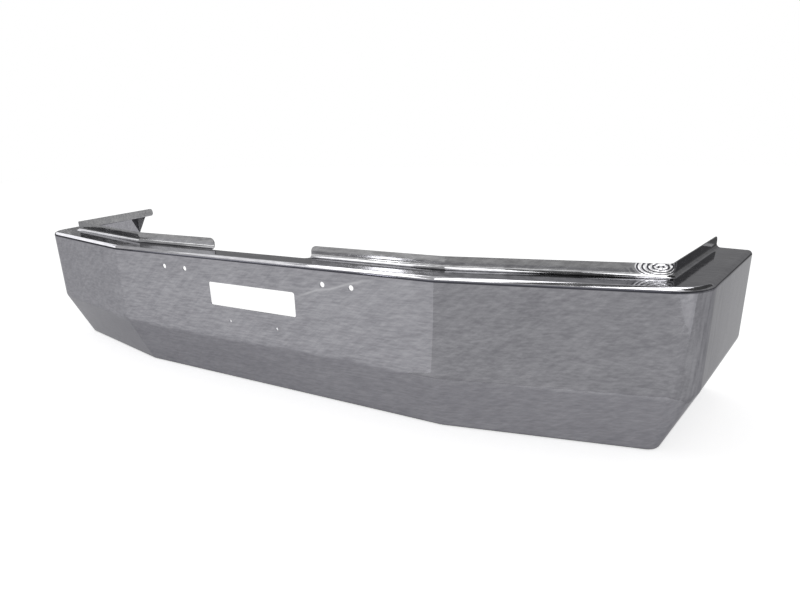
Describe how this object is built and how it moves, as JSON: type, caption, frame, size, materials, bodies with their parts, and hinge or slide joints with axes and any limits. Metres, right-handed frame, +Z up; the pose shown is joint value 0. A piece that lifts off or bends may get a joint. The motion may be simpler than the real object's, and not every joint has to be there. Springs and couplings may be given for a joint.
{
  "type": "truck front bumper",
  "caption": "Plated steel truck front bumper: swept face, tucked lower panel, flanged top with upstanding lip, wraparound wings, a wide slot and bolt holes.",
  "frame": {"origin": "middle of the plan, on the surface that the bottom return stands on", "axes": "-Y out of the bumper's face, +Y towards the truck, +X to the viewer's right from in front, +Z up"},
  "size_m": [2.524, 0.624, 0.46],
  "materials": {
    "bright_chrome": "mirror-bright chrome plate, lightly hazed and scuffed",
    "plated_gusset": "thin plate over unpolished steel"
  },
  "bodies": {
    "root": {"face_bar": "bright_chrome", "left_end_gusset": "plated_gusset", "right_end_gusset": "plated_gusset"}
  },
  "joints": []
}
